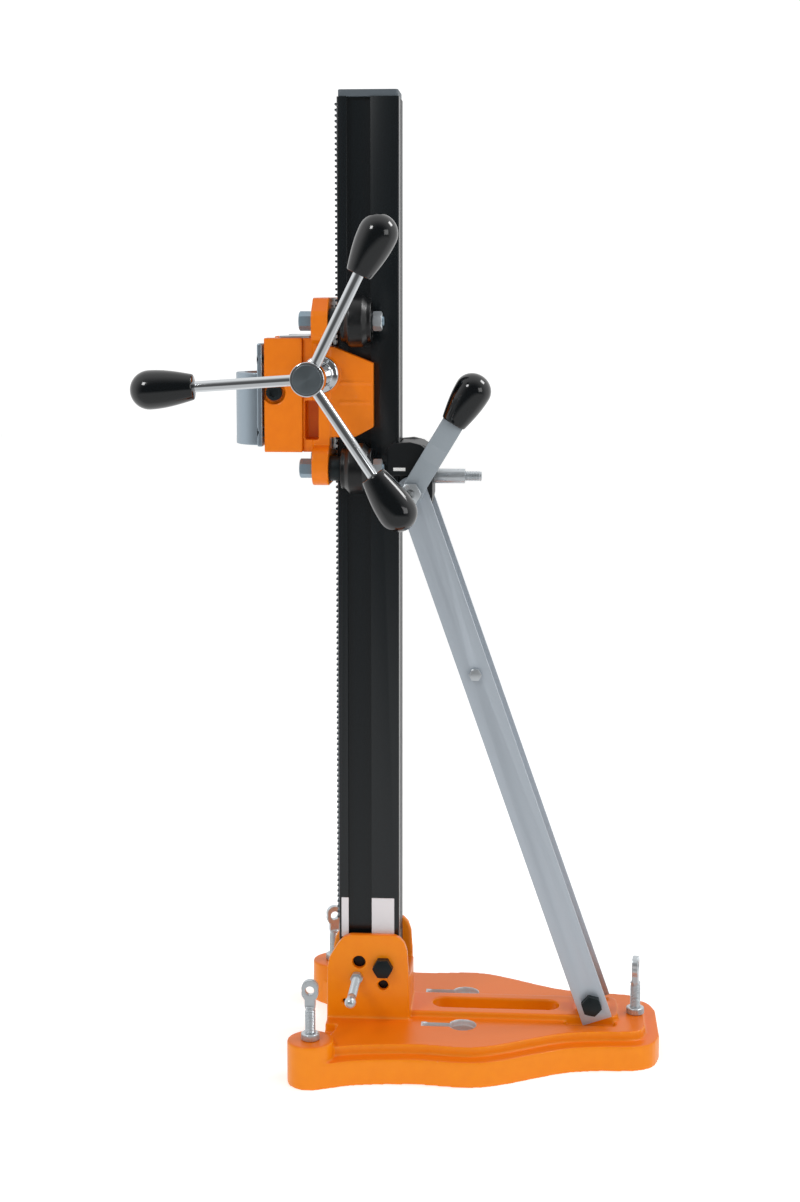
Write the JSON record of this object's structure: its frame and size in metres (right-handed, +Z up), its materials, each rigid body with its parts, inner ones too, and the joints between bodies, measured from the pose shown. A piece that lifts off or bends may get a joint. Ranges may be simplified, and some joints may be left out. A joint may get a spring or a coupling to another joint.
{
  "type": "core drill rig",
  "caption": "Tilting column stand for a core drill: cast base with levelling screws, rack column, roller carriage with motor clamp, capstan feed handle and rear strut.",
  "frame": {"origin": "on the floor under the middle of the upright column, on the base casting's underside", "axes": "+Z up, +X from the column towards the rear strut, -X the side of the rack and the motor clamp, -Y the side of the feed handle"},
  "size_m": [0.5767, 0.349, 1.108],
  "materials": {
    "cast_orange": "gloss",
    "black_anodised": "satin",
    "black_casting": "satin",
    "grey_plastic": "matte",
    "bright_steel": "satin",
    "black_steel": "satin",
    "blued_steel": "satin",
    "aluminium_bar": "satin",
    "chrome": "polished",
    "gloss_black": "gloss",
    "black_nylon": "satin",
    "bronze": "satin"
  },
  "bodies": {
    "base": {"base_plate": "cast_orange", "level_locknuts": "bright_steel", "tilt_bolt": "black_steel", "tilt_nut": "black_steel"},
    "tilt_clamp": {"tilt_clamp_screw": "bright_steel"},
    "column": {"column_profile": "black_anodised", "column_foot": "black_casting", "column_cap": "grey_plastic", "rack": "bright_steel"},
    "strut_slider": {"slider_block": "black_casting", "slider_stud": "bright_steel", "slider_sleeve": "bright_steel", "strut_pivot_bolt": "bright_steel", "strut_pivot_nuts": "bright_steel"},
    "strut": {"strut_bar_left": "aluminium_bar", "strut_bar_right": "aluminium_bar", "strut_spacer": "bright_steel", "strut_foot_bolt": "black_steel", "strut_foot_nut": "black_steel"},
    "lock_lever": {"lock_lever": "bright_steel", "lock_lever_knob": "gloss_black"},
    "carriage": {"carriage_frame": "cast_orange", "motor_block": "cast_orange", "block_screws": "black_steel", "block_cover": "bright_steel", "clamp_cap": "aluminium_bar", "clamp_bolts": "black_steel", "neck_screws": "black_steel", "roller_axles": "blued_steel", "roller_nuts": "bright_steel", "roller_bushes": "black_steel", "bearing_left": "bronze", "bearing_right": "bronze"},
    "feed_handle": {"shaft_collar": "black_steel", "pinion_shaft": "bright_steel", "handle_hub": "chrome", "hub_disc": "black_steel", "arm_a": "chrome", "arm_b": "chrome", "arm_c": "chrome", "grip_a": "gloss_black", "grip_b": "gloss_black", "grip_c": "gloss_black"},
    "roller_upper_left": {"roller_upper_left": "black_nylon"},
    "roller_upper_right": {"roller_upper_right": "black_nylon"},
    "roller_lower_left": {"roller_lower_left": "black_nylon"},
    "roller_lower_right": {"roller_lower_right": "black_nylon"},
    "level_foot_left": {"level_foot_left": "black_steel"},
    "level_screw_left": {"level_screw_left": "bright_steel"},
    "level_foot_right": {"level_foot_right": "black_steel"},
    "level_screw_right": {"level_screw_right": "bright_steel"},
    "level_foot_rear": {"level_foot_rear": "black_steel"},
    "level_screw_rear": {"level_screw_rear": "bright_steel"}
  },
  "joints": [
    {"name": "column_tilt", "type": "hinge", "parent": "base", "child": "column", "pos_m": [0.017, 0, 0.103], "axis": [0, 1, 0], "range_deg": [0, 30]},
    {"name": "strut_slide", "type": "slide", "parent": "column", "child": "strut_slider", "axis": [0, 0, 1], "range_m": [0, 0.1305]},
    {"name": "strut_pivot", "type": "hinge", "parent": "strut_slider", "child": "strut", "pos_m": [0.0495, 0, 0.658], "axis": [0, 1, 0], "range_deg": [0, 1.21]},
    {"name": "lock_lever_turn", "type": "hinge", "parent": "strut_slider", "child": "lock_lever", "pos_m": [0.0495, -0.046, 0.658], "axis": [0, 1, 0], "range_deg": [-30, 75]},
    {"name": "tilt_clamp_turn", "type": "hinge", "parent": "base", "child": "tilt_clamp", "pos_m": [-0.0135, -0.08, 0.0895], "axis": [0, 1, 0], "range_deg": [-180, 180]},
    {"name": "carriage_feed", "type": "slide", "parent": "column", "child": "carriage", "axis": [0, 0, 1], "range_m": [-0.44, 0.2]},
    {"name": "handle_spin", "type": "hinge", "parent": "carriage", "child": "feed_handle", "pos_m": [-0.05, 0, 0.792], "axis": [0, 1, 0], "range_deg": [-2130, 970]},
    {"name": "roller_upper_left_spin", "type": "hinge", "parent": "carriage", "child": "roller_upper_left", "pos_m": [-0.0105, -0.0533, 0.851], "axis": [1, 0, 0], "range_deg": [-1100, 1100]},
    {"name": "roller_upper_right_spin", "type": "hinge", "parent": "carriage", "child": "roller_upper_right", "pos_m": [-0.0105, 0.0533, 0.851], "axis": [1, 0, 0], "range_deg": [-1100, 1100]},
    {"name": "roller_lower_left_spin", "type": "hinge", "parent": "carriage", "child": "roller_lower_left", "pos_m": [-0.0105, -0.0533, 0.686], "axis": [1, 0, 0], "range_deg": [-1100, 1100]},
    {"name": "roller_lower_right_spin", "type": "hinge", "parent": "carriage", "child": "roller_lower_right", "pos_m": [-0.0105, 0.0533, 0.686], "axis": [1, 0, 0], "range_deg": [-1100, 1100]},
    {"name": "level_travel_left", "type": "slide", "parent": "base", "child": "level_foot_left", "axis": [0, 0, 1], "range_m": [-0.012, 0.006]},
    {"name": "level_turn_left", "type": "hinge", "parent": "level_foot_left", "child": "level_screw_left", "pos_m": [-0.058, -0.124, 0.05], "axis": [0, 0, 1], "range_deg": [-2475, 1240]},
    {"name": "level_travel_right", "type": "slide", "parent": "base", "child": "level_foot_right", "axis": [0, 0, 1], "range_m": [-0.012, 0.006]},
    {"name": "level_turn_right", "type": "hinge", "parent": "level_foot_right", "child": "level_screw_right", "pos_m": [-0.058, 0.124, 0.05], "axis": [0, 0, 1], "range_deg": [-2475, 1240]},
    {"name": "level_travel_rear", "type": "slide", "parent": "base", "child": "level_foot_rear", "axis": [0, 0, 1], "range_m": [-0.012, 0.006]},
    {"name": "level_turn_rear", "type": "hinge", "parent": "level_foot_rear", "child": "level_screw_rear", "pos_m": [0.311, 0, 0.05], "axis": [0, 0, 1], "range_deg": [-2475, 1240]}
  ],
  "couplings": [
    {"joint": "strut_slide", "follows": "column_tilt", "m_per_rad": 0.249},
    {"joint": "strut_pivot", "follows": "column_tilt", "ratio": 0.04},
    {"joint": "handle_spin", "follows": "carriage_feed", "rad_per_m": 83.333},
    {"joint": "roller_upper_left_spin", "follows": "carriage_feed", "rad_per_m": -42.9},
    {"joint": "roller_upper_right_spin", "follows": "carriage_feed", "rad_per_m": 42.9},
    {"joint": "roller_lower_left_spin", "follows": "carriage_feed", "rad_per_m": -42.9},
    {"joint": "roller_lower_right_spin", "follows": "carriage_feed", "rad_per_m": 42.9},
    {"joint": "level_turn_left", "follows": "level_travel_left", "rad_per_m": 3590.4},
    {"joint": "level_turn_right", "follows": "level_travel_right", "rad_per_m": 3590.4},
    {"joint": "level_turn_rear", "follows": "level_travel_rear", "rad_per_m": 3590.4}
  ]
}
